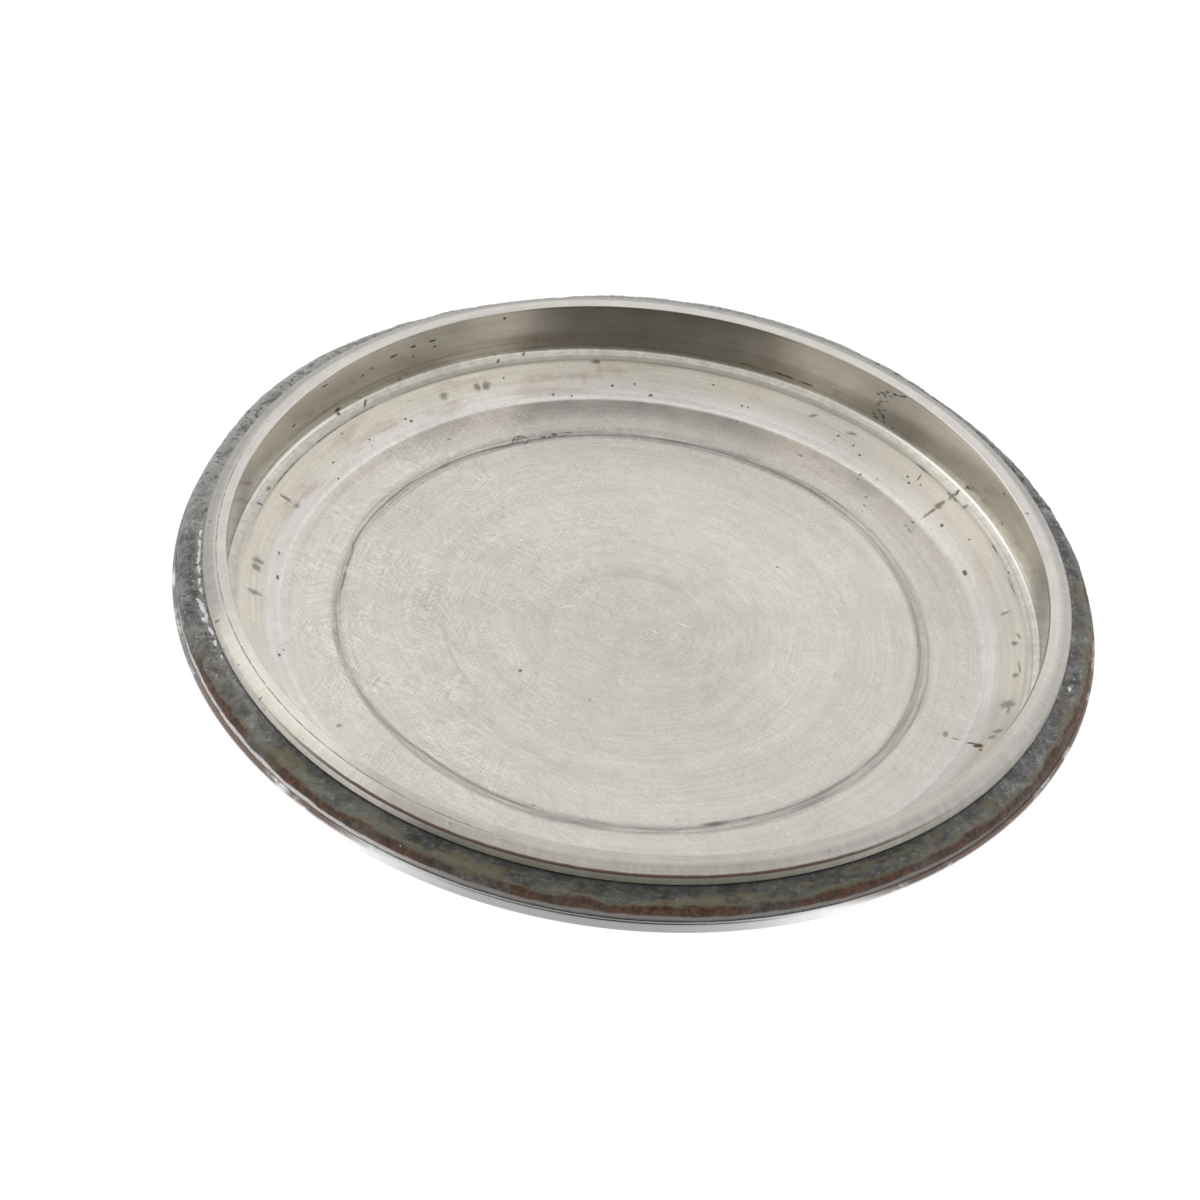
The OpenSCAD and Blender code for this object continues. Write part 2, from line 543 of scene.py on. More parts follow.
# Marks inside: angle in degrees, then radius, half width along the circle and half width across it in
# hundredths of a millimetre, then a twist in degrees if there is one
INSIDE_PITS = [
    (221, 1492, 5, 19, -50), (216, 1506, 10, 7), (244.3, 1490, 5, 10, -45), (248.5, 1504, 4, 9, -40),
    (192.3, 1476, 5, 13, 10), (322.6, 1487, 6, 17, 30), (179.5, 1325, 13, 6), (161, 1332, 10, 7),
    (162.5, 1310, 6, 4, 20), (185, 1343, 8, 4, 25), (207, 1320, 7, 4), (208.7, 1375, 5, 4),
    (225.3, 1373, 6, 5), (217.3, 1367, 5, 3), (216.8, 1342, 5, 3), (214, 1437, 6, 3), (244.3, 1418, 4, 5),
    (262, 1363, 6, 6), (268.5, 1336, 9, 5), (255, 1322, 3, 6), (283.8, 1366, 5, 4), (278.3, 1420, 4, 4),
    (300.6, 1397, 5, 5), (305.7, 1372, 7, 4), (308.2, 1310, 5, 7, 20), (308.8, 1282, 4, 9, 40),
    (315.7, 1393, 6, 5), (314.7, 1408, 5, 4), (326.2, 1364, 8, 7), (337.3, 1334, 15, 8),
    (331.5, 1410, 5, 4), (341, 1469, 6, 4), (229.5, 1212, 8, 4, -15), (218.8, 1285, 3, 5, 20),
    (284, 1294, 5, 8), (313, 1230, 6, 4, 20), (314.5, 1190, 8, 4), (315.5, 1160, 5, 3),
    (322.5, 1290, 8, 5, 20), (138.6, 514, 8, 8), (321, 668, 5, 5), (300.5, 1375, 3, 3),
    (240.8, 1110, 24, 3, 52), (243.3, 1110, 20, 3, -48), (242.1, 1124, 12, 4), (247.3, 1096, 18, 6, -12),
    (249.4, 1103, 12, 7, -25), (251, 1090, 20, 4, 15), (248.6, 1088, 10, 3, 30),
    (252.4, 1106, 16, 3.5, -12), (243, 1078, 16, 3, 18),
]
INSIDE_BRIGHT = [
    (246, 1118, 10, 2.2, 64), (247.8, 1097, 9, 2, 70), (264, 1060, 12, 2, 72), (266.8, 1070, 15, 2.2, 80),
    (243.2, 1095, 12, 2, 30), (249.8, 1080, 10, 2, 20), (160.4, 290, 16, 2.2, -38),
    (190.5, 250, 30, 3, -52), (200, 355, 10, 2.5, -30), (20, 90, 20, 2.5, 75), (352, 190, 30, 3, 62),
]
INSIDE_STAINS = [
    (174, 1402, 15, 24), (181.2, 1406, 17, 19), (179.6, 1406, 20, 17), (233.5, 1406, 17, 15),
    (239.6, 1404, 16, 15), (241.1, 1402, 20, 17), (315.6, 1466, 40, 4.5), (322.7, 1462, 50, 5),
    (322.7, 1464, 8, 20, 10), (325.6, 1472, 8, 15), (302.2, 1428, 20, 8, 15), (295.2, 1426, 16, 10, 30),
    (324.3, 1250, 16, 9), (297.5, 1240, 12, 8), (322.7, 1255, 5, 12), (355.9, 1424, 14, 10, 25),
    (354.6, 1442, 22, 4, 18), (3, 1427, 16, 11, 20), (1.4, 1441, 30, 4, 8), (9.5, 1420, 24, 28),
    (11, 1430, 20, 6), (15.7, 1422, 13, 17, 30), (17.2, 1412, 14, 12, -20), (348.8, 1412, 8, 16, 10),
    (196.5, 1364, 14, 9), (242, 1110, 25, 12, 20), (247.5, 1090, 40, 10, 8), (143, 1250, 10, 12),
    (211, 1465, 100, 3.5), (219, 1466, 90, 3), (201, 1466, 120, 3), (18, 1245, 14, 12, 30),
]
INSIDE_RUST = [
    (322.6, 1406, 14, 24), (322.7, 1368, 7, 36), (316.2, 1433, 5, 17, 15), (317.4, 1415, 6, 5),
    (259.4, 1460, 20, 10), (196.4, 1412, 9, 26), (196, 1478, 16, 7), (344, 1460, 50, 3),
    (335.5, 1466, 40, 4), (18.3, 1285, 4, 20, 10), (105, 465, 3, 12), (104.7, 1066, 10, 5),
]
INSIDE_DARK_RUST = [(19.4, 1378, 13, 25, -20), (18.8, 1350, 5, 20, -5), (20.4, 1395, 6, 7)]
# Brown smears on the cone
INSIDE_SMEARS = [(260, 1425, 16, 40, 4), (257.4, 1395, 13, 35, 6), (262.5, 1430, 40, 20)]
# Strokes of wiping and handling, in patches: angle, length, thickness, place in the noise
STROKES = [
    (-20, 1.5, 0.035, 0.0), (24, 1.4, 0.03, 5.0), (-62, 1.2, 0.03, 9.0), (75, 1.3, 0.035, 14.0),
    (-40, 1.3, 0.03, 20.0),
]
# Places where a tool has turned: centre, rate of the lines, reach
SWIRLS = [((-6.4, 0.6, 0.0), 2.6, 4.6), ((4.6, 8.6, 0.0), 2.2, 4.2), ((3.4, -4.6, 0.0), 2.4, 3.6)]

# The next tables go round the circle: angle in degrees, then hundredths. The main line of the worn ring:
# radius over RING_BASE, darkness, half width times 10
RING_NEAR = [
    (0, 24, 41, 30), (10, 26, 38, 30), (20, 30, 40, 30), (25, 31, 39, 30), (28, 32, 52, 35),
    (32, 32, 49, 35), (36, 31, 19, 30), (42, 28, 45, 35), (46, 29, 49, 35), (50, 31, 15, 30),
    (60, 26, 15, 30), (62.5, 24, 70, 40), (66, 23, 60, 30), (69.5, 24, 100, 55), (71.5, 24, 70, 40),
    (73, 25, 0, 20), (104, 32, 0, 20), (107, 33, 45, 30), (112, 32, 35, 30), (118, 31, 35, 30),
    (122, 29, 55, 30), (129, 28, 60, 30), (133, 36, 50, 30), (140, 47, 50, 40), (149, 51, 55, 30),
    (156, 52, 21, 20), (160, 55, 35, 30), (163, 57, 50, 50), (168, 52, 43, 45), (174, 52, 42, 40),
    (178, 43, 33, 40), (180, 36, 68, 40),
]
RING_FAR = [
    (180, 35, 68, 35), (183.5, 35, 77, 30), (184.5, 36, 17, 20), (186.5, 37, 68, 30), (190, 38, 72, 30),
    (192.5, 50, 74, 30), (200, 52, 65, 22), (208, 51, 74, 32), (215, 52, 67, 25), (221, 48, 64, 22),
    (224.3, 46, 80, 45), (226, 48, 62, 25), (232, 46, 56, 22), (238, 37, 60, 40), (243, 34, 46, 40),
    (245, 40, 12, 30), (253, 50, 15, 50), (258, 50, 37, 40), (266, 48, 37, 45), (269, 46, 15, 40),
    (273, 38, 37, 60), (277, 38, 33, 60), (280, 45, 18, 50), (285, 50, 33, 50), (288.5, 50, 36, 40),
    (291, 42, 12, 50), (295, 43, 39, 60), (300, 42, 51, 60), (306, 43, 54, 55), (309.5, 42, 24, 50),
    (318, 40, 12, 40), (345, 25, 40, 30),
]
# Its soft band: radius over RING_BASE, darkness, half width times 2
RING_BAND = [
    (0, 43, 41, 70), (15, 45, 55, 72), (30, 43, 42, 70), (45, 43, 60, 66), (60, 42, 58, 66),
    (75, 43, 56, 60), (83, 42, 64, 58), (87.5, 42, 50, 58), (92, 41, 72, 58), (105, 41, 55, 62),
    (120, 42, 52, 62), (128, 45, 45, 50), (135, 46, 42, 42), (150, 49, 35, 42), (165, 50, 42, 42),
    (180, 47, 38, 44), (195, 50, 15, 40), (210, 47, 30, 56), (225, 47, 35, 56), (240, 45, 55, 66),
    (248, 48, 55, 56), (255, 50, 42, 50), (270, 36, 30, 64), (285, 42, 42, 64), (300, 42, 45, 56),
    (309, 44, 30, 60), (315, 48, 20, 66), (322, 42, 30, 70), (330, 38, 38, 70), (345, 36, 33, 66),
    (360, 43, 41, 70),
]
# Its thinner lines: radius of the outer one over RING_BASE, its darkness, darkness of the inner one
RING_SIDES = [
    (0, 60, 20, 0), (10, 65, 25, 0), (18, 64, 45, 0), (30, 62, 40, 0), (37, 62, 10, 0), (104, 53, 0, 0),
    (108, 54, 25, 0), (118, 56, 15, 0), (128, 60, 10, 0), (142, 62, 25, 0), (152, 62, 35, 0),
    (158, 64, 50, 0), (166, 64, 40, 0), (176, 50, 50, 20), (183, 48, 60, 20), (190, 50, 30, 0),
    (196, 70, 20, 0), (201, 73, 50, 10), (208, 73, 50, 40), (213, 70, 10, 40), (224, 70, 0, 35),
    (232, 70, 0, 10), (268, 50, 10, 30), (275, 50, 20, 50), (288, 30, 30, 40), (298, 55, 20, 20),
    (303, 63, 50, 10), (306, 63, 85, 10), (311, 63, 90, 20), (315, 60, 30, 45), (330, 60, 15, 45),
    (352, 60, 20, 40),
]

# Painted light and shade: the steel is made lighter or darker round the circle. Share on the cone, at its
# foot and on the floor
SHEEN = [
    (0, 93, 96, 99), (15, 80, 91, 99), (30, 88, 93, 98), (45, 89, 92, 96), (60, 98, 91, 97),
    (90, 99, 101, 102), (120, 100, 99, 101), (135, 104, 99, 100), (150, 108, 104, 101), (165, 96, 105, 101),
    (180, 95, 106, 98), (195, 97, 111, 102), (210, 99, 120, 99), (225, 106, 120, 107), (240, 110, 109, 108),
    (252, 92, 125, 107), (270, 89, 135, 108), (285, 97, 126, 109), (300, 88, 108, 106), (315, 80, 115, 104),
    (330, 84, 95, 106), (345, 82, 91, 99), (360, 93, 96, 99),
]
# The ledge: painted light and shade as a share of its colour, and strength of the painted highlight along the
# foot of the wall
LEDGE_SHEEN = [
    (0, 83, 0), (90, 85, 0), (170, 80, 0), (180, 81, 0), (190, 86, 10), (200, 90, 70), (206, 89, 100),
    (214, 91, 90), (220, 98, 30), (240, 110, 0), (255, 117, 10), (270, 105, 10), (285, 107, 10),
    (300, 102, 20), (309, 100, 80), (318, 100, 100), (332, 90, 100), (342, 85, 70), (350, 82, 20),
    (360, 83, 0),
]

# Marks on the inner wall, in the same units: angle, height, half width along the wall, half height, twist
WALL_PITS = [
    (212.7, 344, 15, 4, -10), (226.5, 307, 16, 5, 6), (230, 317, 14, 5, -12), (233.3, 315, 14, 4),
    (222.5, 294, 6, 4), (220.8, 280, 7, 3), (233.8, 282, 6, 3, -20), (230.2, 266, 6, 3, -20),
    (245, 347, 5, 4), (250.3, 225, 5, 4), (213, 215, 7, 3, -20), (216, 174, 12, 12), (228, 176, 8, 3),
    (205.5, 267, 9, 4, -20), (288.2, 193, 50, 4.5), (291.9, 192, 26, 4), (283, 190, 55, 2),
    (308.2, 359, 14, 3.5, 22), (306.7, 345, 12, 4, 18), (305.2, 334, 10, 3, 14), (304.5, 318, 13, 3, 10),
    (303.8, 303, 8, 3.5), (304.6, 278, 6, 3, 20), (304, 254, 7, 3.5), (304.5, 230, 12, 3.5, -10),
    (304.1, 190, 12, 4.5, 5), (305.3, 210, 6, 9, 30), (305.5, 192, 8, 4), (307.2, 185, 7, 5),
    (307.4, 350, 7, 2.5, 30), (306, 324, 8, 2.2, 12), (305, 310, 6, 2.5, -15), (305.6, 292, 9, 2.2, 8),
    (304.2, 266, 8, 2.5, -12), (305.2, 242, 7, 2.5, 20), (304.9, 220, 8, 2.2), (303.6, 202, 8, 2.5, 14),
    (323.6, 190, 12, 6, 20), (199, 179, 160, 2.2), (187, 176, 130, 1.8), (332.3, 340, 8, 5, 10),
]


def worn_ring(n, share, off):
    """Darkness of the worn ring's lines and of its soft band. off is the radius over RING_BASE."""
    at = n.add(off, n.about(n.streaks(13.0, 0.0, 1.0, 3.0, 0.6), 0.035))
    twice = n.mul(share, 2.0)
    near = n.course(twice, RING_NEAR, 0, 180)
    far = n.course(n.add(twice, -1.0), RING_FAR, 180, 360)
    middle, dark, half = n.split(n.mix(n.math("GREATER_THAN", share, 0.5), near, far))
    away = n.apart(at, middle)
    main = n.mul(n.ramp(away, n.mul(half, 0.3), n.mul(half, 0.06)), dark)
    outer, outer_dark, inner_dark = n.split(n.course(share, RING_SIDES))
    away = n.apart(at, outer)
    outer_line = n.mul(n.ramp(away, 0.055, 0.01), outer_dark)
    inner_line = n.mul(n.band(at, 0.2, 0.01, 0.045), inner_dark)
    sides = n.most(outer_line, inner_line)
    middle, dark, half = n.split(n.course(share, RING_BAND))
    away = n.apart(off, middle)
    soft = n.mul(n.ramp(away, n.mul(half, 0.6), n.mul(half, 0.2)), dark)
    broken = n.streaks(9.0, off, 3.0, 4.0, 0.7)
    rows = n.streaks(3.5, off, 9.0, 4.0, 0.75)
    lines = n.mul(n.most(main, n.mul(sides, 0.8)), n.ramp(broken, 0.3, 0.5, 0.6, 1.0))
    return lines, n.mul(soft, n.ramp(rows, 0.36, 0.64, 0.25, 1.45, smooth=False))


def inside_material():
    n = TurnedNodes("steel_inside")
    point, flat, radius = n.point, n.flat, n.radius
    x, y, _ = n.split(flat)
    turn = n.mul(n.math("ARCTAN2", n.mul(y, -1.0), x), 0.5 / math.pi)
    share = n.math("FRACT", n.add(turn, 1.0))
    cloud = n.noise(flat, 0.22, 3.0, 0.55)
    patch = n.noise(flat, 0.9, 4.0, 0.6, 0.4)
    grain = n.noise(flat, 9.0, 3.0, 0.7)
    turned = n.streaks(1.3, radius, 9.0, 3.0, 0.7)
    arcs = n.streaks(3.2, radius, 8.0, 4.0, 0.75)
    broad = n.streaks(0.5, radius, 1.6, 2.0)
    outer = n.ramp(radius, 11.4, 13.1)

    # Scratches of wiping and handling: long fine strokes that lie in patches, each patch its own way
    bend = n.vector("SUBTRACT", n.noise(flat, 0.3, 1.0, output="Color"), (0.5, 0.5, 0.5))
    bent = n.vector("ADD", flat, n.vector("SCALE", bend, scale=0.8))
    strokes = None
    for angle, long, thin, at in STROKES:
        lay = n.place(bent, (at, at, 0), math.radians(angle), (long, thin, 1.0))
        hair = n.noise(lay, 1.0, 4.0, 0.8)
        where = n.ramp(n.noise(n.vector("ADD", flat, (at, -at, 0.0)), 0.45, 2.0), 0.4, 0.58)
        one = n.about(hair, where)
        strokes = one if strokes is None else n.add(strokes, one)
    strokes = n.mul(strokes, n.ramp(radius, 12.6, 13.3, 1.0, 0.3))

    # Faint rings of the lathe about the middle and broken arcs where a tool has turned
    swirl = None
    for at, rate, reach in SWIRLS:
        off = n.vector("SUBTRACT", flat, at)
        far = n.vector("LENGTH", off)
        wave = n.streaks(1.6, far, rate * 2, 3.0, 0.7, n.vector("NORMALIZE", off))
        seen = n.mul(n.ramp(wave, 0.55, 0.7), n.ramp(far, reach, reach * 0.6))
        swirl = seen if swirl is None else n.most(swirl, seen)
    far = n.vector("LENGTH", n.vector("SUBTRACT", flat, (-0.1, -0.3, 0.0)))
    inner_ring = n.mul(n.band(far, 3.05, 0.05, 0.35), n.window(238, 55, 25))
    outer_ring = n.mul(n.band(far, 6.9, 0.02, 0.12), n.window(165, 45, 30))
    part = n.ramp(n.streaks(1.4, radius, 0.4), 0.4, 0.62)
    swirl = n.most(n.mul(swirl, 0.5), n.mul(n.most(inner_ring, outer_ring), part))

    # Colour: the floor is clean, the cone is slightly yellow, with a painted highlight along its inner edge
    yellow = n.mul(n.ramp(radius, 13.2, 14.3), n.ramp(patch, 0.35, 0.65, 0.4, 1.0))
    yellow = n.mul(yellow, n.between(n.window(322, 26, 14), 1.0, 0.5))
    colour = n.mix(yellow, STEEL, (0.62, 0.578, 0.495))
    edge = n.mul(n.ramp(radius, 12.95, 13.12), n.ramp(radius, 13.9, 13.4))
    colour = n.over(colour, (0.68, 0.65, 0.62), edge, 0.9)
    warm = n.noise(n.vector("ADD", flat, (20.0, 5.0, 0.0)), 2.4, 3.0, 0.65)
    brown = n.streaks(6.0, radius, 1.8, 4.0, 0.65)
    smears = n.spots(radius, INSIDE_SMEARS, n.about(warm, 3.0), 0.1, 1.3)
    colour = n.over(colour, (0.4, 0.29, 0.17), smears, 0.35)
    on_cone = n.mul(n.ramp(radius, 13.1, 13.5), n.ramp(radius, LEDGE_R + 0.05, STEP_R))
    browned = n.mul(n.ramp(brown, 0.48, 0.66), n.between(n.window(236, 34, 22), 0.25, 0.6))
    colour = n.over(colour, (0.47, 0.4, 0.32), on_cone, browned)
    on_ledge = n.ramp(radius, LEDGE_R - 0.04, LEDGE_R + 0.06)
    ledge_sheen, foot_highlight, _ = n.split(n.course(share, LEDGE_SHEEN))
    colour = n.over(colour, (0.8, 0.765, 0.7), on_ledge)
    tint = n.mul(n.ramp(warm, 0.4, 0.62), n.less(1.0, on_cone))
    colour = n.over(colour, (0.575, 0.54, 0.51), tint, 0.55)
    # Painted light and shade round the circle on the floor, the foot of the cone, the cone and the ledge
    cone_sheen, foot_sheen, floor_sheen = n.split(n.course(share, SHEEN))
    sheen = n.mul(floor_sheen, n.ramp(radius, 1.0, 8.0, 0.9, 0.98))
    sheen = n.between(n.ramp(radius, 11.1, 11.7), sheen, foot_sheen)
    sheen = n.between(n.ramp(radius, 12.95, 13.35), sheen, cone_sheen)
    sheen = n.between(on_ledge, sheen, ledge_sheen)
    comb = n.streaks(42.0, radius, 1.6, 3.0, 0.6)
    combed = n.mul(n.band(radius, RING_R, 0.3, 0.2), n.window(280, 22, 10))
    stroked = n.mul(strokes, n.ramp(x, -9.0, 2.0, 1.5, 0.7))
    colour = n.scaled(
        colour, sheen, n.swing(cloud, 0.04), n.swing(patch, 0.05), n.swing(grain, 0.08),
        n.between(outer, n.swing(arcs, 0.1), n.swing(turned, 0.1)), n.swing(broad, 0.04),
        n.ramp(stroked, -0.4, 0.4, 0.65, 1.35, smooth=False), n.between(swirl, 1.0, 0.9),
        n.between(combed, 1.0, n.swing(comb, 0.14)),
    )

    # Painted highlight along the foot of the wall
    foot_highlight = n.mul(n.ramp(radius, CAVITY_R - 0.11, CAVITY_R - 0.07), foot_highlight)
    colour = n.over(colour, (1.0, 0.99, 0.95), foot_highlight)
    ledge_line = n.mul(n.band(radius, LEDGE_R + 0.16, 0.015, 0.035), n.ramp(broad, 0.4, 0.6, 0.1, 0.4))
    colour = n.over(colour, (0.3, 0.28, 0.24), ledge_line)
    lines, soft = worn_ring(n, share, n.add(radius, -RING_BASE))
    ring_colour = n.mix(n.window(285, 45, 30), (0.13, 0.095, 0.09), (0.085, 0.083, 0.06))
    colour = n.over(colour, (0.17, 0.15, 0.14), soft, 0.85)
    colour = n.over(colour, ring_colour, lines, 0.85)

    # Painted shade in the cove at the foot of the ledge, and a painted shadow across the ledge, strongest on
    # the far side
    cove = n.band(radius, LEDGE_R - 0.05, 0.015, 0.06)
    cove_shade = n.ramp(n.streaks(6.0, radius, 2.0), 0.35, 0.65, 0.1, 0.5)
    cove_shade = n.mul(cove_shade, n.between(n.window(236, 30, 30), 0.35, 1.0))
    colour = n.over(colour, (0.2, 0.185, 0.14), cove, cove_shade)
    shadow = n.mul(n.band(radius, LEDGE_R + 0.03, 0.06, 0.12), n.between(n.window(267, 36, 24), 0.16, 0.56))
    colour = n.over(colour, (0.3, 0.285, 0.235), shadow)

    wobble = n.about(n.noise(point, 5.0, 2.0), 0.9)
    fuzz = n.about(n.noise(point, 4.2, 4.0, 0.75), 2.4)
    many = n.between(n.window(285, 32, 15), 0.25, 1.0)
    dust = n.mul(n.crumbs(1.9, 0.74, 7.0), n.mul(on_cone, many))
    marks = n.spots(radius, INSIDE_PITS, wobble, 0.7, 1.15)
    pits = n.most(marks, n.mul(n.crumbs(0.95, 0.72, 3.0), outer), n.mul(dust, 0.75))
    stains = n.spots(radius, INSIDE_STAINS, fuzz, 0.25, 1.4)
    rust = n.spots(radius, INSIDE_RUST, fuzz, 0.3, 1.3)
    dark_rust = n.spots(radius, INSIDE_DARK_RUST, wobble, 0.5, 1.25)
    colour = n.over(colour, GREY_STAIN, stains, 0.6)
    colour = n.over(colour, RUST, rust, 0.6)
    colour = n.over(colour, DARK_RUST, dark_rust, 0.95)
    colour = n.over(colour, DIRT, pits, 0.68)
    bright = n.spots(radius, INSIDE_BRIGHT, n.mul(wobble, 0.4), 0.6, 1.3)
    colour = n.over(colour, (0.8, 0.77, 0.72), bright, 0.7)
    soiled = n.most(pits, n.mul(stains, 0.7), n.mul(rust, 0.8), dark_rust)

    rough = n.add(n.ramp(patch, 0.25, 0.75, 0.27, 0.33), n.mul(soiled, 0.3))
    metal = n.less(1.0, n.most(n.mul(soiled, 0.7), n.mul(on_ledge, 0.3)))
    height = n.add(n.between(outer, n.mul(arcs, 0.4), turned), n.mul(strokes, 0.3))
    n.turned_surface(INSIDE_STRETCH, colour, metal, rough, n.bump(height, 2.0))
    return n.material


def wall_material():
    n = TurnedNodes("steel_wall")
    point, z = n.point, n.z
    lines = n.streaks(0.9, z, 22.0, 3.0, 0.75)
    broad = n.streaks(0.6, z, 3.0, 2.0)
    left_end = n.window(181, 5, 9)
    right_end = n.window(6, 6.5, 20)
    middle = n.window(266, 24, 12)
    right = n.window(334, 12, 14)
    patch = n.noise(point, 0.8, 3.0, 0.6)
    grain = n.streaks(40.0, z, 16.0, 3.0, 0.7)
    colour = n.mix(n.ramp(z, 2.3, 1.7, 0.0, 0.6), (0.595, 0.565, 0.505), (0.63, 0.61, 0.54))
    colour = n.over(colour, (0.56, 0.5, 0.4), n.window(289, 2, 6), 0.4)
    # Painted light and shade round the wall: much darker at its two ends, lighter at 213 degrees and on the
    # right, and darker high up in the middle
    shade = n.between(left_end, 1.0, n.ramp(z, 1.8, 3.2, 0.37, 0.66))
    shade = n.mul(shade, n.between(right_end, 1.0, n.ramp(z, 1.8, 3.2, 0.25, 0.38)))
    shade = n.mul(shade, n.between(n.window(213, 9, 10), 1.0, 1.11))
    shade = n.mul(shade, n.between(middle, 1.0, n.ramp(z, 2.0, 2.5, 1.1, 0.86)))
    shade = n.mul(shade, n.between(right, 1.0, n.ramp(z, 1.9, 3.3, 1.45, 1.15)))
    colour = n.scaled(
        colour, shade, n.swing(lines, 0.1), n.swing(broad, 0.06), n.swing(patch, 0.07), n.swing(grain, 0.07),
    )
    # Painted shadow along the foot of the wall, and a dark line in a shallow groove above it
    foot = n.mul(n.band(z, 1.65, 0.02, 0.04), n.ramp(broad, 0.4, 0.6, 0.2, 0.6))
    groove = n.mul(n.band(z, 2.12, 0.015, 0.03), n.mul(n.window(228, 20, 8), n.ramp(patch, 0.3, 0.6)))
    colour = n.over(colour, (0.2, 0.19, 0.16), n.most(foot, n.mul(groove, 0.5)))
    wobble = n.about(n.noise(point, 6.0, 2.0), 1.1)
    marks = n.spots(z, WALL_PITS, wobble, 0.5, 1.2, reach=CAVITY_R, grow=1.3)
    pits = n.most(marks, n.mul(n.crumbs(1.1, 0.82, 11.0), 0.6))
    colour = n.over(colour, (0.045, 0.048, 0.04), pits, 0.88)
    rough = n.add(n.ramp(lines, 0.25, 0.75, 0.09, 0.125), n.mul(pits, 0.3))
    metal = n.less(1.0, n.mul(pits, 0.6))
    height = n.add(lines, n.mul(groove, -1.5))
    n.turned_surface(WALL_STRETCH, colour, metal, rough, n.bump(height, 1.5))
    return n.material


def rim_material():
    n = TurnedNodes("steel_rim")
    point, radius, z = n.point, n.radius, n.z
    grain = n.noise(point, 9.0, 3.0, 0.7)
    patch = n.noise(point, 1.1, 3.0, 0.6)
    lines = n.streaks(1.6, n.add(radius, z), 14.0, 3.0, 0.7)
    cross = n.streaks(55.0, radius, 1.2, 3.0, 0.6)
    lip_edge = BEAD_R - BEVEL_W
    on_bevel = n.ramp(radius, lip_edge - 0.06, lip_edge + 0.2)
    on_side = n.ramp(z, BEVEL_Z + 0.01, BEVEL_Z - 0.03)
    near = n.window(85, 45, 40)
    left = n.window(139, 12, 12)

    # Painted light and shade: the lip, the bevel and the side of the bead are lighter or darker round the
    # circle, with a painted warm highlight on the left
    lip = n.mix(n.mul(near, 0.75), (0.59, 0.56, 0.525), (0.42, 0.395, 0.357))
    lip = n.mix(n.window(142, 8, 12), lip, (0.7, 0.67, 0.63))
    bevel = n.mix(n.window(28, 36, 16), (0.348, 0.338, 0.32), (0.465, 0.44, 0.41))
    bevel = n.mix(n.window(92, 14, 22), bevel, (0.385, 0.365, 0.33))
    bevel = n.mix(n.mul(left, 0.9), bevel, (0.58, 0.555, 0.495))
    bevel = n.mix(n.window(200, 22, 20), bevel, (0.34, 0.33, 0.305))
    bevel = n.mix(n.window(274, 26, 22), bevel, (0.235, 0.23, 0.218))
    side = n.mix(n.window(92, 6, 38), (0.62, 0.59, 0.53), (0.29, 0.285, 0.23))
    side = n.mix(n.window(139, 14, 14), side, (0.84, 0.805, 0.73))
    colour = n.mix(on_side, n.mix(on_bevel, lip, bevel), side)
    colour = n.scaled(
        colour, n.swing(grain, 0.07), n.swing(patch, 0.08), n.swing(lines, 0.09),
        n.between(on_bevel, 1.0, n.swing(cross, 0.1)),
    )

    # Dirt lines at the outer edge of the lip and at the top of the bead, and painted shade in the undercut
    ragged = n.streaks(26.0, z, 4.0, 4.0, 0.7)
    wander = n.about(ragged, 0.06)
    shown = n.mul(n.window(150, 38, 15), n.ramp(ragged, 0.35, 0.6, 0.2, 0.75))
    edge_line = n.mul(n.band(n.add(radius, wander), lip_edge + 0.01, 0.012, 0.03), shown)
    colour = n.over(colour, (0.3, 0.19, 0.14), edge_line)
    bead_line = n.band(n.add(z, n.mul(wander, 0.7)), BEVEL_Z - 0.03, 0.035, 0.035)
    bead_line = n.mul(bead_line, n.ramp(radius, BEAD_R - 0.09, BEAD_R - 0.05))
    bead_line = n.mul(bead_line, n.between(n.window(92, 22, 34), 0.12, 0.95))
    colour = n.over(colour, (0.095, 0.045, 0.03), bead_line)
    # Painted shade in the undercut below the bead
    under = n.ramp(z, BEAD_Z + 0.01, BEAD_Z - 0.03)
    colour = n.over(colour, (0.06, 0.04, 0.035), under, 0.85)

    # Rust flecks on the left part of the bevel and of the bead
    fleck = n.streaks(60.0, n.add(radius, z), 6.0, 3.0, 0.6)
    flecks = n.mul(n.ramp(fleck, 0.62, 0.68), n.window(152, 14, 8))
    flecks = n.mul(flecks, n.ramp(radius, lip_edge + 0.2, BEAD_R - 0.05))
    colour = n.over(colour, (0.17, 0.1, 0.065), flecks, 0.75)
    pits = n.most(n.crumbs(1.3, 0.8, 5.0), n.mul(n.crumbs(2.3, 0.86, 8.0), 0.8))
    colour = n.over(colour, (0.15, 0.15, 0.13), pits, 0.5)

    side_film = n.mul(on_side, n.between(near, 0.5, 0.9))
    film = n.most(side_film, bead_line, under, edge_line, flecks, n.mul(pits, 0.5))
    metal = n.less(1.0, film)
    rough = n.add(n.ramp(patch, 0.3, 0.7, 0.24, 0.34), n.mul(film, 0.3))
    height = n.add(lines, n.mul(grain, 0.6), n.mul(pits, -1.5))
    n.surface(Base_Color=colour, Metallic=metal, Roughness=rough, Normal=n.bump(height, 2.0))
    return n.material


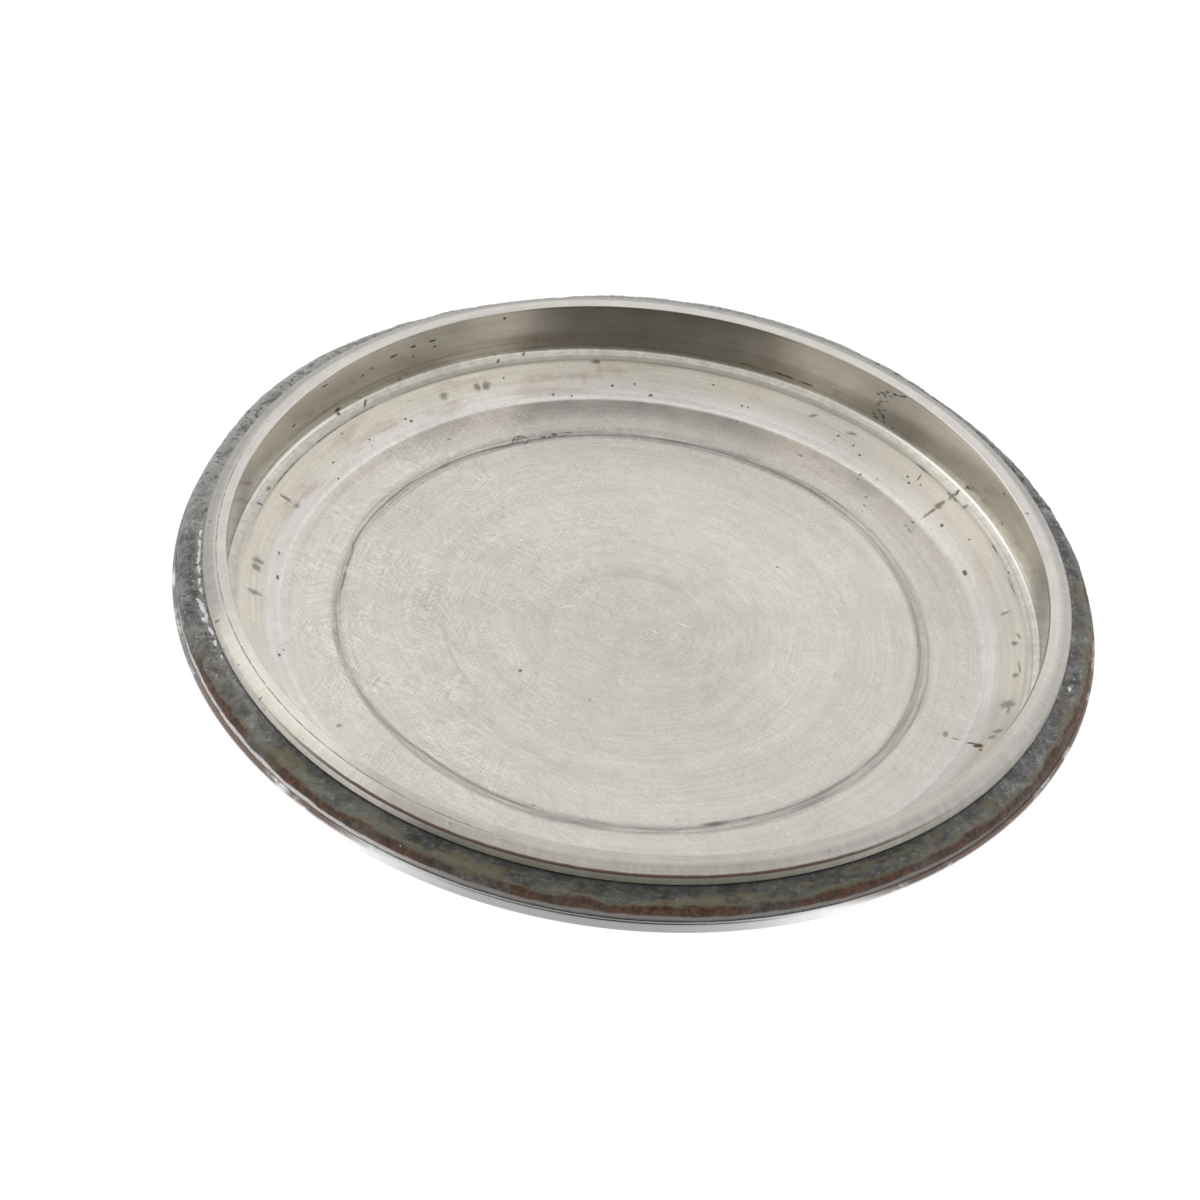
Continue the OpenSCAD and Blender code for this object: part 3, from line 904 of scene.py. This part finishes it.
def outside_material():
    n = TurnedNodes("steel_outside")
    point, radius, z = n.point, n.radius, n.z
    lines = n.streaks(1.2, n.add(radius, z), 16.0, 3.0, 0.75)
    patch = n.noise(point, 0.5, 4.0, 0.6)
    grain = n.noise(point, 7.0, 3.0, 0.7)
    hair_a = n.noise(n.place(point, (0, 0, 0), math.radians(35), (6.0, 0.05, 1.0)), 1.0, 2.0, 0.5)
    hair_b = n.noise(n.place(point, (4, 2, 0), math.radians(-50), (4.5, 0.05, 1.0)), 1.0, 2.0, 0.5)
    hairs = n.most(n.ramp(hair_a, 0.68, 0.74), n.ramp(hair_b, 0.69, 0.75))
    # The upper part of the flange's edge: a painted reflection of the white floor, near white, to either side
    # of the near part, and darker grey on the near part itself
    under = n.ramp(z, 1.6, 2.0)
    edge = n.mix(n.window(91, 76, 16), OUTSIDE_STEEL, (0.97, 0.97, 0.97))
    edge = n.mix(n.window(91, 0, 32), edge, (0.37, 0.378, 0.375))
    colour = n.mix(under, OUTSIDE_STEEL, edge)
    colour = n.scaled(
        colour, n.swing(lines, 0.07), n.swing(patch, 0.08), n.swing(grain, 0.04), n.between(hairs, 1.0, 1.12),
    )
    pits = n.crumbs(0.8, 0.82, 2.0)
    colour = n.over(colour, DIRT, pits, 0.6)
    crept = n.most(n.window(22, 28, 14), n.window(164, 38, 12))
    uneven = n.ramp(n.streaks(11.0, z, 1.8, 4.0, 0.7), 0.3, 0.5, 0.3, 1.0)
    crept = n.mul(crept, n.ramp(z, 2.1, 2.26), uneven)
    crept_colour = n.mix(n.window(190, 26, 22), (0.14, 0.08, 0.05), (0.2, 0.2, 0.19))
    colour = n.over(colour, crept_colour, crept, 0.9)
    rough = n.add(n.ramp(patch, 0.3, 0.7, 0.24, 0.33), n.mul(n.most(hairs, crept), 0.2))
    height = n.add(lines, n.mul(hairs, -1.0), n.mul(pits, -2.0))
    n.turned_surface(OUTSIDE_STRETCH, colour, 1.0, rough, n.bump(height, 1.5))
    return n.material


def gasket_material():
    """Hardened grey rubber: mottled, pitted and rusty along its outer edge."""
    n = TurnedNodes("old_gasket")
    point, radius, z = n.point, n.radius, n.z
    mottle = n.noise(point, 1.3, 4.0, 0.62, 0.6)
    blotch = n.noise(n.vector("ADD", point, (9.0, 4.0, 2.0)), 0.7, 3.0, 0.6, 0.5)
    speck = n.noise(n.vector("ADD", point, (3.0, 14.0, 6.0)), 4.2, 3.0, 0.7)
    grain = n.noise(point, 9.0, 4.0, 0.75)
    curls = n.noise(point, 3.0, 2.0, 0.5, 2.2)
    left = n.window(200, 40, 35)
    far = n.window(255, 60, 25)
    right = n.window(352, 34, 20)
    near = n.window(92, 42, 40)

    colour = n.mix(n.ramp(mottle, 0.32, 0.68), (0.06, 0.06, 0.057), (0.17, 0.172, 0.16))
    mottled = n.ramp(mottle, 0.35, 0.65)
    colour = n.over(colour, n.mix(mottled, (0.11, 0.108, 0.105), (0.3, 0.3, 0.295)), left, 0.6)
    colour = n.over(colour, (0.4, 0.4, 0.385), far, 0.7)
    # Painted light: on the left the gasket is paler towards its inner edge, to offset the shade from the rim
    inside = n.ramp(radius, 16.4, 16.15)
    colour = n.over(colour, (0.37, 0.37, 0.36), n.window(182, 32, 14), n.mul(inside, 0.5))
    colour = n.over(colour, n.mix(mottled, (0.1, 0.1, 0.105), (0.23, 0.235, 0.245)), right, 0.6)
    olive = n.mul(near, n.ramp(blotch, 0.5, 0.66), n.ramp(radius, 16.1, 16.4))
    colour = n.over(colour, (0.16, 0.165, 0.125), olive, 0.5)
    gloom = n.mul(n.ramp(blotch, 0.48, 0.34), n.ramp(radius, 16.75, 16.3))
    colour = n.over(colour, (0.055, 0.052, 0.05), gloom, 0.6)
    shade = n.between(n.window(82, 26, 14), 1.0, 0.7)
    colour = n.scaled(colour, shade, n.swing(grain, 0.2), n.swing(speck, 0.2))

    # Fine pale and dark specks, coarser on the left and the far side
    coarse = n.most(left, far, n.mul(right, 0.8), 0.3)
    colour = n.over(colour, (0.5, 0.5, 0.49), n.ramp(speck, 0.58, 0.66), n.mul(coarse, 0.6))
    colour = n.over(colour, (0.045, 0.043, 0.042), n.ramp(speck, 0.41, 0.34), n.mul(coarse, 0.8))
    thread = n.mul(n.band(curls, 0.5, 0.012, 0.03), n.most(n.mul(right, 0.9), n.mul(left, 0.4)))
    thread = n.mul(thread, n.ramp(n.noise(point, 1.7, 2.0), 0.45, 0.6))
    colour = n.over(colour, (0.5, 0.5, 0.51), thread, 0.6)
    pitted = n.most(n.mul(left, 0.7), n.window(325, 14, 10))
    holes = n.mul(n.ramp(n.noise(point, 3.3, 2.0, 0.5, 0.8), 0.6, 0.66), pitted)
    colour = n.over(colour, (0.05, 0.048, 0.048), holes, 0.75)

    # Painted shade along the rim, then the rust of the outer edge in patches with an olive fringe
    inner = n.mul(n.ramp(radius, 16.06, 15.99), n.mul(near, 0.6))
    colour = n.over(colour, (0.06, 0.055, 0.055), inner)
    streak = n.streaks(11.0, n.add(radius, n.mul(z, -1.0)), 1.8, 5.0, 0.7)
    edge_at = n.add(n.less(2.98, z), n.about(streak, 0.5))
    rusty = n.window(72, 80, 10)
    gaps = n.ramp(n.streaks(4.4, 0.0, 1.0), 0.38, 0.52, 0.3, 1.0)
    fringe = n.mul(n.band(edge_at, 0.06, 0.03, 0.06), rusty, n.ramp(streak, 0.3, 0.55, 0.3, 1.0))
    colour = n.over(colour, (0.175, 0.155, 0.095), fringe, 0.7)
    rust = n.mul(n.ramp(edge_at, 0.04, 0.14), rusty, gaps)
    rust_colour = n.mix(n.ramp(speck, 0.38, 0.62), (0.045, 0.022, 0.014), (0.12, 0.052, 0.024))
    rust_colour = n.mix(n.mul(n.ramp(grain, 0.58, 0.72), 0.4), rust_colour, (0.25, 0.11, 0.045))
    colour = n.over(colour, rust_colour, rust, 0.92)
    # Painted light: the lower edge, which faces the white floor, is paler, near white round 144 degrees
    pale = n.mul(n.ramp(n.add(z, n.about(streak, 0.25)), 2.62, 2.5), n.window(100, 52, 22))
    pale_colour = n.mix(n.window(144, 14, 26), (0.28, 0.27, 0.26), (0.86, 0.84, 0.82))
    colour = n.over(colour, pale_colour, pale, 0.85)
    base = n.mul(n.ramp(z, 2.4, 2.36), n.between(rusty, 0.2, 0.4))
    colour = n.over(colour, (0.13, 0.09, 0.075), base)

    rough = n.ramp(mottle, 0.3, 0.7, 0.5, 0.7)
    height = n.add(mottle, n.mul(grain, 0.5), n.add(n.mul(holes, -1.2), n.mul(speck, 0.8)))
    n.surface(Base_Color=colour, Roughness=rough, Specular_IOR_Level=0.35, Normal=n.bump(height, 30.0))
    return n.material


def burr_material():
    """The pale torn edge of the gasket."""
    n = TurnedNodes("gasket_burr")
    grain = n.noise(n.point, 6.0, 3.0, 0.7)
    colour = n.mix(n.ramp(grain, 0.3, 0.7), (0.62, 0.63, 0.65), (0.95, 0.95, 0.96))
    n.surface(Base_Color=colour, Roughness=n.ramp(grain, 0.3, 0.7, 0.3, 0.5), Normal=n.bump(grain, 10.0))
    return n.material


points, zones = rounded(BACK_CORNERS)
back = lathe("case_back_turned", points, zones, BACK_SEGMENTS, back_relief, closed=False)
for made in (outside_material(), rim_material(), wall_material(), inside_material()):
    back.data.materials.append(made)
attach(back, "root")
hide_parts("case_back")

points, zones = gasket_outline()
gasket = lathe("gasket_squashed", points, zones, GASKET_SEGMENTS, gasket_relief, closed=True)
gasket.data.materials.append(gasket_material())
gasket.data.materials.append(burr_material())
join_chips(gasket, CHIPS)
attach(gasket, "root")
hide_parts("gasket")

floor_mesh = bpy.data.meshes.new("floor")
half = 1.5
corners = [(-half, -half, 0), (half, -half, 0), (half, half, 0), (-half, half, 0)]
floor_mesh.from_pydata(corners, [], [(0, 1, 2, 3)])
floor = bpy.data.objects.new("floor", floor_mesh)
bpy.context.scene.collection.objects.link(floor)
pale = new_material("pale_floor")
WHITE = (1.0, 1.0, 1.0, 1.0)
Nodes(pale.node_tree).surface(
    Base_Color=(0.02, 0.02, 0.02, 1.0), Roughness=0.8, Emission_Color=WHITE, Emission_Strength=1.0,
)
floor.data.materials.append(pale)

# A light tent: direction in degrees, 0 on the near side and 90 on the right, and brightness in hundredths
TENT = [
    (-180, 107), (-172, 102), (-152, 112), (-128, 124), (-108, 114), (-88, 100), (-78, 85), (-68, 60),
    (-60, 68), (-52, 92), (-41, 116), (-36, 86), (-32, 45), (-24, 22), (-16, 16.5), (0, 14.5), (33, 13),
    (38, 33), (42.5, 100), (49, 116), (56, 100), (64, 66), (72, 62), (88, 74), (104, 86), (120, 97),
    (150, 110), (168, 117), (180, 107),
]
# Brightness straight above, and a warm box light
OVERHEAD = 1.08
BOX_STRENGTH = 0.28
BOX_TINT = (1.0, 0.93, 0.8, 1.0)
world = bpy.data.worlds.new("light_tent")
bpy.context.scene.world = world
world.use_nodes = True
n = Nodes(world.node_tree)
coords = n.new("ShaderNodeTexCoord")
direction = n.vector("NORMALIZE", coords.outputs["Generated"])
x, y, z = n.split(direction)
turn_share = n.add(n.mul(n.math("ARCTAN2", x, n.mul(y, -1.0)), 0.5 / math.pi), 0.5)
tent = n.course(turn_share, TENT, -180, 180)
overhead = n.ramp(z, 0.85, 0.99)
strength = n.ramp(overhead, 0.0, 1.0, tent, OVERHEAD, smooth=False)
box = n.vector("DOT_PRODUCT", direction, Vector((-0.5, 0.35, 0.8)).normalized())
glow = n.ramp(box, math.cos(math.radians(16)), math.cos(math.radians(11)), 0.0, BOX_STRENGTH)
both = n.new("ShaderNodeAddShader")
for socket, tint, power in zip(both.inputs, (WHITE, BOX_TINT), (strength, glow)):
    light = n.new("ShaderNodeBackground")
    light.inputs["Color"].default_value = tint
    n.put(light.inputs["Strength"], power)
    n.put(socket, light.outputs[0])
out = n.new("ShaderNodeOutputWorld")
n.put(out.inputs[0], both.outputs[0])

# Camera fitted to the ellipses of the rim, ledge, floor and gasket: place in metres, angles in degrees
FOCAL_PX = 4500.0
FRAME_PX = 1200.0
CAMERA_PLACE = Vector((-1.2913, -124.808, 111.652)) * MM
CAMERA_TILT = 48.6117
CAMERA_ROLL = 7.378
camera_data = bpy.data.cameras.new("camera")
camera_data.sensor_width = 36.0
camera_data.lens = FOCAL_PX / FRAME_PX * camera_data.sensor_width
camera_data.clip_start = 0.005
camera_data.clip_end = 10.0
camera = bpy.data.objects.new("camera", camera_data)
bpy.context.scene.collection.objects.link(camera)
tilt = Matrix.Rotation(math.radians(CAMERA_TILT), 4, "X")
roll = Matrix.Rotation(math.radians(CAMERA_ROLL), 4, "Z")
camera.matrix_world = Matrix.Translation(CAMERA_PLACE) @ tilt @ roll
bpy.context.scene.camera = camera
bpy.context.scene.view_settings.view_transform = "Standard"
